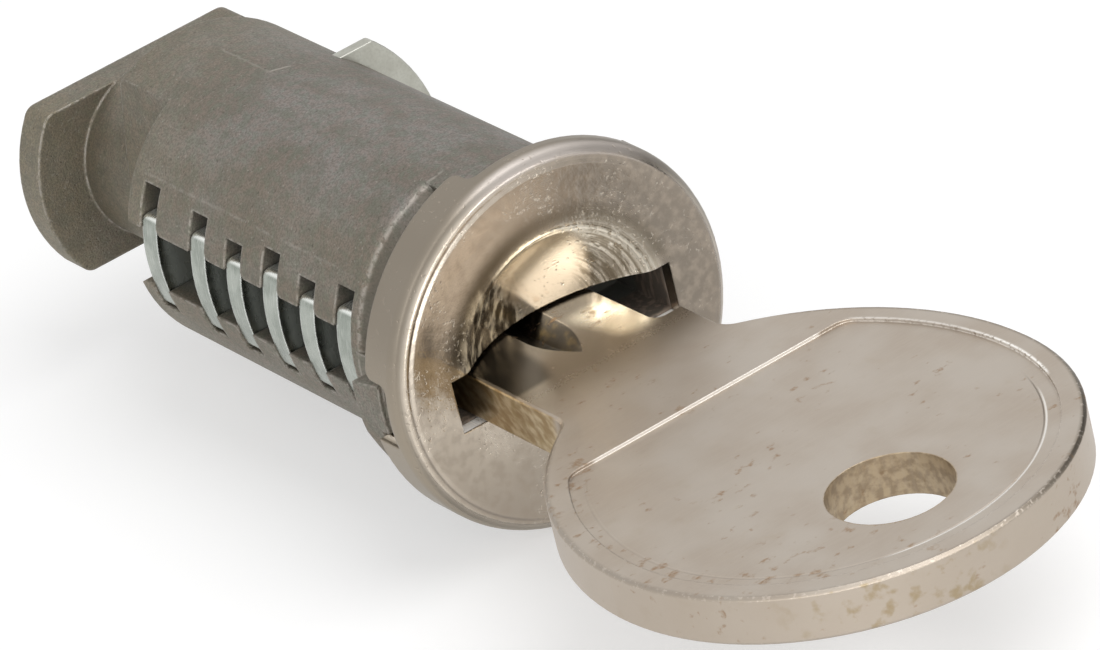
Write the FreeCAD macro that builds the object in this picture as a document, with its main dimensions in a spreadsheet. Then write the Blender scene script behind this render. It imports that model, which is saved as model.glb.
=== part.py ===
import FreeCAD, Part
import math
import os
import Sketcher

# Lock cylinder with its key: a die-cast plug, a pressed face cap, six sprung wafers,
# a sprung retaining plate and a flat key pushed fully home.
# Millimetres, +Z up. The plug's axis lies along Y, the face looks towards -Y.
# Every piece is drawn from the face of the cap, where Y is 0, and then set back so that
# the origin comes to the middle of the barrel's bearing length, on the axis.

doc = FreeCAD.newDocument("lock_cylinder")
sheet = doc.addObject("Spreadsheet::Sheet", "Sizes")

SIZES = {
    "barrel_radius": 6.0,
    "bearing_start": 5.0,
    "bearing_length": 12.0,
    "cap_radius": 7.5,
    "cap_sheet": 0.6,
    "cap_rim_round": 0.65,
    "skirt_wall": 0.45,
    "skirt_long": 2.0,
    "skirt_short": 0.95,
    "skirt_notch_front": 0.75,
    "seat_gap": 0.02,
    "bowl_radius": 4.3,
    "bowl_depth": 1.6,
    "bowl_rim_round": 0.8,
    "slot_width": 10.1,
    "slot_height": 2.2,
    "key_drop": 0.36,
    "short_sector_start": 43.0,
    "short_sector_end": 103.3,
    "notch_start": 168.7,
    "notch_end": 188.7,
    "head_back": 1.75,
    "lug_top": 1.08,
    "lug_top_back": 0.8,
    "lug_radius": 7.25,
    "lug_front": 1.65,
    "lug_back": 3.35,
    "lug_root": 4.4,
    "lug_notch_bottom": 0.93,
    "lug_ramp_top": 1.4,
    "lug_ramp_bottom": 3.85,
    "relief_back": 4.9,
    "relief_slope": 1.0,
    "relief_radius": 5.35,
    "relief_start": 103.3,
    "relief_end": 171.5,
    "skirt_corner": 0.4,
    "neck_start": 20.6,
    "neck_step_bevel": 0.35,
    "neck_radius": 3.72,
    "neck_touch_angle": 169.7,
    "lobe_end": 23.7,
    "lobe_bevel": 0.2,
    "tail_front": 26.9,
    "tail_thickness": 1.4,
    "tail_radius": 5.85,
    "tail_flats": 7.0,
    "tail_round": 0.6,
    "keyway_left": 4.26,
    "keyway_right": 3.6,
    "keyway_gap": 0.055,
    "keyway_end": 20.5,
    "keyway_mouth": 4.0,
    "window_top": 1.5,
    "window_bottom": 0.95,
    "window_corner": 0.3,
    "window_lip_round": 0.9,
    "wafer_first": 5.7,
    "wafer_pitch": 2.46,
    "wafer_last_pitch": 3.33,
    "wafer_thickness": 0.95,
    "wafer_side_gap": 0.075,
    "wafer_edge_gap": 0.07,
    "wafer_bottom": 1.95,
    "wafer_top_high": 2.15,
    "wafer_top_low": 1.88,
    "wafer_top_last": 1.95,
    "slot_ceiling_high": 3.0,
    "slot_ceiling_low": 2.66,
    "slot_ceiling_last": 3.18,
    "wafer_tongue_start": 3.85,
    "wafer_tongue_half": 1.45,
    "wafer_travel": 0.9,
    "wafer_window_left": 4.35,
    "wafer_corner": 0.35,
    "blade_window_gap": 0.1,
    "cut_gap": 0.06,
    "spring_lug_set_in": 0.8,
    "spring_lug_width": 0.8,
    "spring_seat_depth": 0.1,
    "pocket_end": 0.8,
    "wafer_spring_radius": 0.39,
    "wafer_spring_wire": 0.17,
    "spring_side_gap": 0.05,
    "retainer_front": 17.6,
    "retainer_thickness": 0.5,
    "retainer_gap": 0.03,
    "retainer_half": 4.95,
    "retainer_reach": 7.0,
    "retainer_travel": 1.65,
    "retainer_leg_end": 0.8,
    "retainer_web": 3.4,
    "retainer_leg_inside": 2.2,
    "retainer_toe_depth": 0.45,
    "retainer_toe_length": 0.55,
    "retainer_stop_gap": 0.05,
    "retainer_spring_height": 3.75,
    "retainer_spring_radius": 0.43,
    "retainer_spring_wire": 0.18,
    "retainer_spring_end": 3.0,
    "retainer_spring_seat": 0.6,
    "retainer_bore_radius": 0.5,
    "retainer_corner": 0.3,
    "key_thickness": 1.95,
    "key_edge": 0.12,
    "blade_left": 4.2,
    "blade_right": 3.53,
    "blade_tip": 20.3,
    "tip_left_flat": 2.2,
    "tip_left_back": 2.0,
    "tip_right_back": 0.8,
    "cut_start": 2.75,
    "cut_corner": 0.4,
    "cut_at_neck": 2.35,
    "cut_first": 2.25,
    "cut_step": 0.26,
    "cut_flat": 0.62,
    "bow_radius": 9.5,
    "bow_centre": 15.7,
    "bow_shoulder_radius": 11.9,
    "bow_fillet": 0.9,
    "panel_inset": 0.9,
    "panel_edge": 8.96,
    "panel_depth": 0.12,
    "panel_corner": 0.9,
    "ring_hole_radius": 2.35,
    "ring_hole_centre": 19.7,
    "groove_half": 0.88,
    "groove_depth": 0.55,
    "groove_top_place": 0.73,
    "groove_bottom_place": 0.55,
    "groove_full_to": 0.2,
    "groove_cutter": 6.0,
    "ward_gap": 0.07,
    "spare": 0.1,
    "clear_of_part": 1.0,
}

WAFER_COUNT = 6


# A size keeps its number and the spreadsheet formula behind it together.

class Size:
    def __init__(self, value, text):
        self.value = float(value)
        self.text = text

    def __add__(self, other):
        other = size_of(other)
        return Size(self.value + other.value, "(%s + %s)" % (self.text, other.text))

    def __radd__(self, other):
        return size_of(other) + self

    def __sub__(self, other):
        other = size_of(other)
        return Size(self.value - other.value, "(%s - %s)" % (self.text, other.text))

    def __rsub__(self, other):
        return size_of(other) - self

    def __mul__(self, other):
        other = size_of(other)
        return Size(self.value * other.value, "(%s * %s)" % (self.text, other.text))

    def __rmul__(self, other):
        return size_of(other) * self

    def __truediv__(self, other):
        other = size_of(other)
        return Size(self.value / other.value, "(%s / %s)" % (self.text, other.text))

    def __neg__(self):
        return Size(-self.value, "(0 - %s)" % self.text)


def size_of(number):
    if isinstance(number, Size):
        return number
    return Size(number, repr(number))


def root(size):
    return Size(math.sqrt(size.value), "sqrt(%s)" % size.text)


def cosine(angle):
    return Size(math.cos(math.radians(angle.value)), "cos(%s)" % angle.text)


def sine(angle):
    return Size(math.sin(math.radians(angle.value)), "sin(%s)" % angle.text)


def chord(radius, offset):
    return root(radius * radius - offset * offset)


def fill_sheet():
    for row, (name, value) in enumerate(SIZES.items(), start=1):
        sheet.set("A%d" % row, name)
        sheet.set("B%d" % row, str(value))
        sheet.setAlias("B%d" % row, name)
    doc.recompute()
    return {name: Size(value, "Sizes." + name) for name, value in SIZES.items()}


S = fill_sheet()
ORIGIN_BACK = S["bearing_start"] + S["bearing_length"] / 2


# Shared drawing helpers

def new_body(label):
    body = doc.addObject("PartDesign::Body", label)
    body.Label = label
    return body


def set_back(piece):
    piece.setExpression(".Placement.Base.y", (-ORIGIN_BACK).text)


def origin_plane(body, role):
    for feature in body.Origin.OriginFeatures:
        if feature.Role == role:
            return feature
    raise RuntimeError("no plane " + role)


def new_sketch(body, name, role, depth):
    # depth is how far the sketch lies from the origin plane, along the plane's normal
    sketch = body.newObject("Sketcher::SketchObject", name)
    sketch.AttachmentSupport = [(origin_plane(body, role), "")]
    sketch.MapMode = "FlatFace"
    depth = size_of(depth)
    sketch.AttachmentOffset = FreeCAD.Placement(FreeCAD.Vector(0, 0, depth.value), FreeCAD.Rotation())
    sketch.setExpression(".AttachmentOffset.Base.z", depth.text)
    return sketch


def across(body, name, y):
    # a sketch square to the lock's axis at distance y behind the face: X and Z
    return new_sketch(body, name, "XZ_Plane", -size_of(y))


def hold_coordinate(sketch, kind, item, end, size):
    if size.text in ("0", "0.0"):
        axis = -2 if kind == "DistanceX" else -1
        sketch.addConstraint(Sketcher.Constraint("PointOnObject", item, end, axis))
        return
    index = sketch.addConstraint(Sketcher.Constraint(kind, -1, 1, item, end, size.value))
    sketch.setExpression("Constraints[%d]" % index, size.text)


def hold_point(sketch, item, end, point, fixed):
    if "x" in fixed:
        hold_coordinate(sketch, "DistanceX", item, end, point[0])
    if "y" in fixed:
        hold_coordinate(sketch, "DistanceY", item, end, point[1])


def line(x, y, fixed="xy"):
    return {"to": (size_of(x), size_of(y)), "fixed": fixed, "centre": None, "turn": None}


def arc(x, y, centre, turn, fixed):
    centre = (size_of(centre[0]), size_of(centre[1]))
    return {"to": (size_of(x), size_of(y)), "fixed": fixed, "centre": centre, "turn": turn}


def vector(point):
    return FreeCAD.Vector(point[0].value, point[1].value, 0)


def draw(sketch, start, steps):
    # draws one closed outline; an arc needs one end held by a single coordinate
    start_point = (size_of(start[0]), size_of(start[1]))
    start_fixed = start[2] if len(start) > 2 else "xy"
    ends = []
    here = start_point
    for number, step in enumerate(steps):
        there = step["to"] if number < len(steps) - 1 else start_point
        if step["centre"] is None:
            item = sketch.addGeometry(Part.LineSegment(vector(here), vector(there)), False)
            ends.append((item, 1, 2))
        else:
            centre = vector(step["centre"])
            first, last = (here, there) if step["turn"] == "left" else (there, here)
            spoke_a = vector(first) - centre
            spoke_b = vector(last) - centre
            angle_a = math.atan2(spoke_a.y, spoke_a.x)
            angle_b = math.atan2(spoke_b.y, spoke_b.x)
            circle = Part.Circle(centre, FreeCAD.Vector(0, 0, 1), spoke_a.Length)
            item = sketch.addGeometry(Part.ArcOfCircle(circle, angle_a, angle_b), False)
            ends.append((item, 1, 2) if step["turn"] == "left" else (item, 2, 1))
        here = there
    for number, (item, _, tail_end) in enumerate(ends):
        next_item, next_start, _ = ends[(number + 1) % len(ends)]
        sketch.addConstraint(Sketcher.Constraint("Coincident", item, tail_end, next_item, next_start))
    for number, step in enumerate(steps):
        item, start_end, tail_end = ends[number]
        if step["centre"] is not None:
            hold_point(sketch, item, 3, step["centre"], "xy")
        if number < len(steps) - 1:
            hold_point(sketch, item, tail_end, step["to"], step["fixed"])
    hold_point(sketch, ends[0][0], ends[0][1], start_point, start_fixed)


def draw_circle(sketch, x, y, radius):
    centre = (size_of(x), size_of(y))
    circle = Part.Circle(vector(centre), FreeCAD.Vector(0, 0, 1), radius.value)
    item = sketch.addGeometry(circle, False)
    hold_point(sketch, item, 3, centre, "xy")
    index = sketch.addConstraint(Sketcher.Constraint("Radius", item, radius.value))
    sketch.setExpression("Constraints[%d]" % index, radius.text)


def draw_rectangle(sketch, left, right, bottom, top):
    draw(sketch, (left, bottom), [line(right, bottom), line(right, top), line(left, top), line(left, bottom)])


def draw_sector(sketch, inner, outer, first, last):
    # a piece of a ring about the lock's axis, between two angles from +X
    def at(radius, angle):
        return radius * cosine(angle), radius * sine(angle)

    def looser(angle):
        return "x" if abs(math.sin(math.radians(angle.value))) > 0.7 else "y"

    draw(sketch, at(inner, first), [
        line(*at(outer, first)),
        arc(*at(outer, last), (0, 0), "left", looser(last)),
        line(*at(inner, last), fixed=looser(last)),
        arc(*at(inner, first), (0, 0), "right", ""),
    ])


def pad(body, name, sketch, length, reversed_way=False, midplane=False):
    feature = body.newObject("PartDesign::Pad", name)
    feature.Profile = sketch
    feature.Length = length.value
    feature.setExpression("Length", length.text)
    feature.Reversed = reversed_way
    feature.Midplane = midplane
    return feature


def pocket(body, name, sketch, length, reversed_way=False):
    feature = body.newObject("PartDesign::Pocket", name)
    feature.Profile = sketch
    feature.Length = length.value
    feature.setExpression("Length", length.text)
    feature.Reversed = reversed_way
    return feature


def turned(body, kind, name, sketch, angle=360.0, reversed_way=False, axis="V_Axis"):
    feature = body.newObject("PartDesign::" + kind, name)
    feature.Profile = sketch
    feature.ReferenceAxis = (sketch, [axis])
    feature.Angle = angle
    feature.Reversed = reversed_way
    return feature


def sector_groove(body, name, first, last, points):
    # turns an outline of radii and distances about the lock's axis between two angles from +X
    middle = (first + last) / 2
    sketch = new_sketch(body, name + "_profile", "XY_Plane", 0)
    sketch.AttachmentOffset = FreeCAD.Placement(
        FreeCAD.Vector(0, 0, 0), FreeCAD.Rotation(FreeCAD.Vector(0, -1, 0), middle.value))
    sketch.setExpression(".AttachmentOffset.Rotation.Angle", middle.text)
    draw(sketch, points[0], [line(*point) for point in points[1:] + points[:1]])
    feature = turned(body, "Groove", name + "_cut", sketch, (last - first).value)
    feature.setExpression("Angle", (last - first).text)
    feature.Midplane = True
    return feature


def round_edges(body, name, base, edges, radius):
    feature = body.newObject("PartDesign::Fillet", name)
    feature.Base = (base, edges)
    feature.Radius = radius.value
    feature.setExpression("Radius", radius.text)
    return feature


def bevel_edges(body, name, base, edges, size):
    feature = body.newObject("PartDesign::Chamfer", name)
    feature.Base = (base, edges)
    feature.Size = size.value
    feature.setExpression("Size", size.text)
    return feature


def edges_along_y(shape, x, z):
    # names the edge parallel to the lock's axis that stands nearest to (x, z)
    found = []
    for number, edge in enumerate(shape.Edges, start=1):
        a, b = edge.Vertexes[0].Point, edge.Vertexes[-1].Point
        if abs(a.x - b.x) < 1e-6 and abs(a.z - b.z) < 1e-6 and abs(a.y - b.y) > 1e-3:
            found.append((math.hypot(a.x - x.value, a.z - z.value), "Edge%d" % number))
    return min(found)[1]


def edge_along_x(shape, y, z):
    # names the edge parallel to X that stands nearest to (y, z) on the left of the lock
    found = []
    for number, edge in enumerate(shape.Edges, start=1):
        a, b = edge.Vertexes[0].Point, edge.Vertexes[-1].Point
        if abs(a.y - b.y) < 1e-6 and abs(a.z - b.z) < 1e-6 and a.x < 0 and abs(a.x - b.x) > 1e-3:
            found.append((math.hypot(a.y - y.value, a.z - z.value), "Edge%d" % number))
    return min(found)[1]


def edge_along_z(shape, x, y, z):
    # names the edge parallel to Z that stands nearest to (x, y, z)
    found = []
    for number, edge in enumerate(shape.Edges, start=1):
        a, b = edge.Vertexes[0].Point, edge.Vertexes[-1].Point
        if abs(a.x - b.x) < 1e-6 and abs(a.y - b.y) < 1e-6 and abs(a.z - b.z) > 1e-3:
            middle = (a + b) * 0.5
            off = math.hypot(middle.x - x.value, middle.y - y.value) + abs(middle.z - z.value)
            found.append((off, "Edge%d" % number))
    return min(found)[1]


def arc_edge(shape, radius, y):
    # names the arc about the lock's axis with this radius and distance from the face
    found = []
    for number, edge in enumerate(shape.Edges, start=1):
        if not isinstance(edge.Curve, Part.Circle):
            continue
        off = abs(edge.Curve.Radius - radius.value) + abs(edge.Curve.Center.y - y.value)
        found.append((off, "Edge%d" % number))
    return min(found)[1]


def radial_edge(shape, angle, y):
    # names the short edge that points away from the lock's axis at this angle and distance
    found = []
    for number, edge in enumerate(shape.Edges, start=1):
        a, b = edge.Vertexes[0].Point, edge.Vertexes[-1].Point
        if abs(a.y - b.y) > 1e-6 or edge.Length > 2 * S["skirt_wall"].value:
            continue
        middle = (a + b) * 0.5
        turn = math.degrees(math.atan2(middle.z, middle.x)) % 360
        found.append((abs(turn - angle.value) + 10 * abs(middle.y - y.value), "Edge%d" % number))
    return min(found)[1]


# Places that several pieces share

KEY_MIDDLE = -S["key_drop"]
KEY_TOP = KEY_MIDDLE + S["key_thickness"] / 2
KEY_BOTTOM = KEY_MIDDLE - S["key_thickness"] / 2
SLOT_TOP = KEY_MIDDLE + S["slot_height"] / 2
SLOT_BOTTOM = KEY_MIDDLE - S["slot_height"] / 2
BOWL_SPHERE = (S["bowl_radius"] * S["bowl_radius"] + S["bowl_depth"] * S["bowl_depth"]) / (2 * S["bowl_depth"])
BOWL_CENTRE = S["bowl_depth"] - BOWL_SPHERE
PLUG_FRONT = S["cap_sheet"] + S["seat_gap"]
OUTSIDE = S["barrel_radius"] + 2 * S["clear_of_part"]


def bowl_back_points():
    # the hidden back of the bowl, from its rim to near the axis, in two cones and a flat
    back_sphere = BOWL_SPHERE + S["cap_sheet"]
    rim = chord(back_sphere, S["cap_sheet"] - BOWL_CENTRE)
    points = [(rim, S["cap_sheet"])]
    for share in (0.7, 0.35):
        x = rim * share
        points.append((x, BOWL_CENTRE + chord(back_sphere, x)))
    return points


def wafer_place(number):
    steps = min(number, WAFER_COUNT - 1) - 1
    place = S["wafer_first"] + steps * S["wafer_pitch"]
    return place + S["wafer_last_pitch"] if number == WAFER_COUNT else place


def wafer_top(number):
    if number == WAFER_COUNT:
        return S["wafer_top_last"]
    return S["wafer_top_high"] if number % 2 else S["wafer_top_low"]


def slot_ceiling(number):
    if number == WAFER_COUNT:
        return S["slot_ceiling_last"]
    return S["slot_ceiling_high"] if number % 2 else S["slot_ceiling_low"]


def spring_seat(number):
    return wafer_top(number) - S["spring_seat_depth"]


def spring_height(number):
    return spring_seat(number) + S["spring_side_gap"] + S["wafer_spring_radius"]


def spring_lug_top(number):
    return spring_height(number) + S["wafer_spring_radius"]


def spring_lug_left(number):
    return chord(S["barrel_radius"] - S["wafer_edge_gap"], spring_lug_top(number)) - S["spring_lug_set_in"]


def spring_lug_right(number):
    return spring_lug_left(number) - S["spring_lug_width"]


def cut_place(number):
    return S["cut_first"] - (number - 1) * S["cut_step"]


# Plug body: one zinc casting, turned in outline, with the keyway, the wafer slots, the side
# window, the retaining plate's slot and the drive tail.

def make_plug():
    body = new_body("plug_body")
    barrel = S["barrel_radius"]
    lobe_start = S["lobe_end"] - S["lobe_bevel"]
    neck = S["neck_radius"]
    head = S["cap_radius"] - S["skirt_wall"] - S["seat_gap"]
    outline = new_sketch(body, "plug_outline", "XY_Plane", 0)
    draw(outline, (0, PLUG_FRONT), [
        line(head, PLUG_FRONT),
        line(head, S["head_back"]),
        line(barrel, S["head_back"]),
        line(barrel, lobe_start),
        line(barrel - S["lobe_bevel"], S["lobe_end"]),
        line(neck, S["lobe_end"]),
        line(neck, S["tail_front"]),
        line(0, S["tail_front"]),
        line(0, PLUG_FRONT),
    ])
    turned(body, "Revolution", "plug_turned", outline)

    step = across(body, "neck_step_outline", S["neck_start"])
    angle = S["neck_touch_angle"]
    reach = chord(OUTSIDE, neck)
    touch = (neck * cosine(angle), neck * sine(angle))
    far = (touch[0] + reach * sine(angle), touch[1] - reach * cosine(angle))
    draw(step, touch, [
        line(*far),
        arc(far[0], -far[1], (0, 0), "left", "x"),
        line(touch[0], -touch[1], fixed="y"),
        arc(touch[0], touch[1], (0, 0), "right", ""),
    ])
    cut_step = pocket(body, "neck_step", step, S["lobe_end"] - S["neck_start"] + S["clear_of_part"])
    doc.recompute()
    bevel_edges(body, "neck_step_edge", cut_step, [
        arc_edge(cut_step.Shape, barrel, S["neck_start"]),
    ], S["neck_step_bevel"])

    tail = across(body, "tail_outline", S["tail_front"])
    flat = S["tail_flats"] / 2
    tail_x = chord(S["tail_radius"], flat)
    draw(tail, (-tail_x, flat), [
        line(tail_x, flat),
        arc(tail_x, -flat, (0, 0), "right", "y"),
        line(-tail_x, -flat, fixed="y"),
        arc(-tail_x, flat, (0, 0), "right", ""),
    ])
    tail_plate = pad(body, "tail_plate", tail, S["tail_thickness"], reversed_way=True)
    doc.recompute()
    corners = [edges_along_y(tail_plate.Shape, tail_x * i, flat * j) for i in (-1, 1) for j in (-1, 1)]
    round_edges(body, "tail_corners", tail_plate, corners, S["tail_round"])

    short = across(body, "head_short_sector", S["skirt_short"])
    draw_sector(short, barrel, OUTSIDE, S["short_sector_start"], S["short_sector_end"])
    pocket(body, "head_short_cut", short, S["head_back"] - S["skirt_short"])

    floor_end = S["relief_back"] - S["relief_slope"]
    sector_groove(body, "relief", S["relief_start"], S["relief_end"], [
        (S["relief_radius"], S["head_back"]),
        (OUTSIDE, S["head_back"]),
        (OUTSIDE, S["relief_back"]),
        (barrel, S["relief_back"]),
        (S["relief_radius"], floor_end),
    ])

    # The lug fills the cap's notch and runs on behind the skirt as a ramp
    lug = new_sketch(body, "lug_outline", "YZ_Plane", -S["lug_root"])
    behind_skirt = S["skirt_long"] + S["retainer_gap"]
    draw(lug, (S["lug_front"], -S["lug_notch_bottom"]), [
        line(behind_skirt, -S["lug_notch_bottom"]),
        line(behind_skirt, -S["lug_ramp_bottom"]),
        line(S["lug_back"], -S["lug_ramp_top"]),
        line(S["lug_back"], S["lug_top_back"]),
        line(S["lug_front"], S["lug_top"]),
        line(S["lug_front"], -S["lug_notch_bottom"]),
    ])
    pad(body, "locating_lug", lug, OUTSIDE - S["lug_root"], reversed_way=True)
    trim = new_sketch(body, "lug_trim_outline", "XY_Plane", 0)
    draw_rectangle(trim, S["lug_radius"], OUTSIDE + S["clear_of_part"], S["lug_front"], S["lug_back"])
    turned(body, "Groove", "lug_trim", trim)

    bowl = new_sketch(body, "bowl_clearance", "XY_Plane", 0)
    mouth = PLUG_FRONT - S["spare"]
    hidden = [line(x + S["seat_gap"], y + S["seat_gap"]) for x, y in bowl_back_points()]
    draw(bowl, (0, mouth), [line(hidden[0]["to"][0], mouth)] + hidden + [
        line(0, hidden[-1]["to"][1]),
        line(0, mouth),
    ])
    turned(body, "Groove", "bowl_cut", bowl, 180.0, True)

    keyway = across(body, "keyway_outline", 0)
    ceiling = KEY_TOP + S["keyway_gap"]
    floor = KEY_BOTTOM - S["keyway_gap"]
    rib = S["groove_depth"] + S["keyway_gap"] - S["ward_gap"]
    rib_half = rib * S["groove_half"] / S["groove_depth"]
    top_rib = -S["groove_top_place"]
    low_rib = S["groove_bottom_place"]
    draw(keyway, (-S["keyway_left"], floor), [
        line(low_rib - rib_half, floor),
        line(low_rib, floor + rib),
        line(low_rib + rib_half, floor),
        line(S["keyway_right"], floor),
        line(S["keyway_right"], ceiling),
        line(top_rib + rib_half, ceiling),
        line(top_rib, ceiling - rib),
        line(top_rib - rib_half, ceiling),
        line(-S["keyway_left"], ceiling),
        line(-S["keyway_left"], floor),
    ])
    pocket(body, "keyway", keyway, S["keyway_end"])

    mouth_sketch = across(body, "keyway_mouth_outline", 0)
    mouth_half = S["slot_width"] / 2
    draw_rectangle(mouth_sketch, -mouth_half, mouth_half, floor, ceiling)
    pocket(body, "keyway_mouth", mouth_sketch, S["keyway_mouth"])

    gap = S["wafer_side_gap"]
    slot_wide = S["wafer_thickness"] + 2 * gap
    for number in range(1, WAFER_COUNT + 1):
        slot = across(body, "wafer_slot_outline_%d" % number, wafer_place(number) - slot_wide / 2)
        low = -S["wafer_bottom"] - gap
        high = wafer_top(number) + gap
        shoulder = S["wafer_tongue_start"] + gap
        tongue = S["wafer_tongue_half"] + gap
        draw(slot, (-OUTSIDE, low), [
            line(shoulder, low),
            line(shoulder, -tongue),
            line(OUTSIDE, -tongue),
            line(OUTSIDE, tongue),
            line(shoulder, tongue),
            line(shoulder, high),
            line(-S["pocket_end"], high),
            line(-S["pocket_end"], slot_ceiling(number)),
            line(-OUTSIDE, slot_ceiling(number)),
            line(-OUTSIDE, low),
        ])
        pocket(body, "wafer_slot_%d" % number, slot, slot_wide)

    window = across(body, "window_outline", wafer_place(1) - slot_wide / 2)
    draw_rectangle(window, -OUTSIDE, -S["keyway_left"] + S["spare"], -S["window_bottom"], S["window_top"])
    cut_window = pocket(body, "side_window", window, S["neck_start"] - wafer_place(1) + slot_wide)
    doc.recompute()
    teeth_ends = [wafer_place(number) - slot_wide / 2 for number in range(2, WAFER_COUNT + 1)]
    corners = [edge_along_x(cut_window.Shape, y, S["window_top"]) for y in teeth_ends]
    round_edges(body, "window_corners", cut_window, corners, S["window_corner"])

    lip = new_sketch(body, "window_lip_outline", "YZ_Plane", -S["keyway_left"])
    lip_round = S["window_lip_round"]
    behind = S["neck_start"] + S["clear_of_part"]
    lip_top, lip_low = -S["window_bottom"], -S["window_bottom"] - lip_round
    draw(lip, (S["neck_start"] - lip_round, lip_top), [
        line(behind, lip_top),
        line(behind, lip_low),
        line(S["neck_start"], lip_low, fixed="y"),
        arc(S["neck_start"] - lip_round, lip_top, (S["neck_start"] - lip_round, lip_low), "left", ""),
    ])
    pocket(body, "window_lip_cut", lip, OUTSIDE - S["keyway_left"])

    plate_gap = S["retainer_gap"]
    plate_slot = across(body, "retainer_slot_outline", S["retainer_front"] - plate_gap)
    plate_floor = -S["retainer_leg_end"] - S["retainer_travel"] - S["spare"]
    plate_half = S["retainer_half"] + plate_gap
    draw_rectangle(plate_slot, plate_floor, OUTSIDE, -plate_half, plate_half)
    stop_left = S["retainer_toe_length"] + plate_gap - S["retainer_leg_end"]
    stop_right = S["retainer_web"] - S["retainer_travel"] - S["retainer_stop_gap"]
    stop_half = S["retainer_leg_inside"] - S["retainer_stop_gap"]
    draw_rectangle(plate_slot, stop_left, stop_right, -stop_half, stop_half)
    pocket(body, "retainer_slot", plate_slot, S["retainer_thickness"] + 2 * plate_gap)

    bores = new_sketch(body, "retainer_bores", "YZ_Plane", OUTSIDE)
    bore_y = S["retainer_front"] + S["retainer_thickness"] / 2
    for side in (-1, 1):
        draw_circle(bores, bore_y, side * S["retainer_spring_height"], S["retainer_bore_radius"])
    pocket(body, "retainer_spring_bores", bores, OUTSIDE + S["retainer_spring_end"])
    set_back(body)
    return body


# Face cap: a stainless pressing with a half bowl above the key slot, crimped over the head.

def make_cap():
    body = new_body("face_cap")
    radius = S["cap_radius"]
    sheet_back = S["cap_sheet"]
    flat_edge = radius - S["cap_rim_round"]
    inside = radius - S["skirt_wall"]
    shell = new_sketch(body, "cap_profile", "XY_Plane", 0)
    draw(shell, (0, 0), [
        line(flat_edge, 0),
        arc(radius, S["cap_rim_round"], (flat_edge, S["cap_rim_round"]), "left", "y"),
        line(radius, S["skirt_long"]),
        line(inside, S["skirt_long"]),
        line(inside, sheet_back),
        line(0, sheet_back),
        line(0, 0),
    ])
    turned(body, "Revolution", "cap_shell", shell)

    back = new_sketch(body, "bowl_back_profile", "XY_Plane", 0)
    hidden = bowl_back_points()
    draw(back, (0, sheet_back), [line(x, y) for x, y in hidden] + [
        line(0, hidden[-1][1]),
        line(0, sheet_back),
    ])
    turned(body, "Revolution", "bowl_back", back, 180.0, True)

    front = -2 * S["spare"]
    rim = S["bowl_rim_round"]
    to_rim = BOWL_SPHERE + rim
    rim_x = chord(to_rim, rim - BOWL_CENTRE)
    meet = (rim_x * BOWL_SPHERE / to_rim, BOWL_CENTRE + (rim - BOWL_CENTRE) * BOWL_SPHERE / to_rim)
    hollow = new_sketch(body, "bowl_profile", "XY_Plane", 0)
    draw(hollow, (0, front), [
        line(rim_x, front),
        line(rim_x, 0),
        arc(meet[0], meet[1], (rim_x, rim), "right", "x"),
        arc(0, S["bowl_depth"], (0, BOWL_CENTRE), "left", "x"),
        line(0, front),
    ])
    turned(body, "Groove", "bowl", hollow, 180.0, True)

    slot = across(body, "key_slot_outline", -S["clear_of_part"])
    half = S["slot_width"] / 2
    draw_rectangle(slot, -half, half, SLOT_BOTTOM, SLOT_TOP)
    pocket(body, "key_slot", slot, S["bowl_depth"] + sheet_back + 2 * S["clear_of_part"])

    short = across(body, "short_skirt_sector", S["skirt_short"])
    draw_sector(short, S["barrel_radius"], radius + S["clear_of_part"], S["short_sector_start"], S["short_sector_end"])
    pocket(body, "short_skirt", short, S["skirt_long"])

    notch = across(body, "notch_sector", S["skirt_notch_front"])
    draw_sector(notch, S["barrel_radius"], radius + S["clear_of_part"], S["notch_start"], S["notch_end"])
    cut_notch = pocket(body, "locating_notch", notch, S["skirt_long"])
    doc.recompute()
    corners = [
        radial_edge(cut_notch.Shape, S["short_sector_end"], S["skirt_long"]),
        radial_edge(cut_notch.Shape, S["short_sector_end"], S["skirt_short"]),
        radial_edge(cut_notch.Shape, S["notch_start"], S["skirt_long"]),
        radial_edge(cut_notch.Shape, S["notch_start"], S["skirt_notch_front"]),
    ]
    round_edges(body, "skirt_corners", cut_notch, corners, S["skirt_corner"])
    set_back(body)
    return body


# Wafers: six stamped brass plates, each with a window that rests against its own cut in the
# key's edge and a small lug that its spring pushes on.

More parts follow.
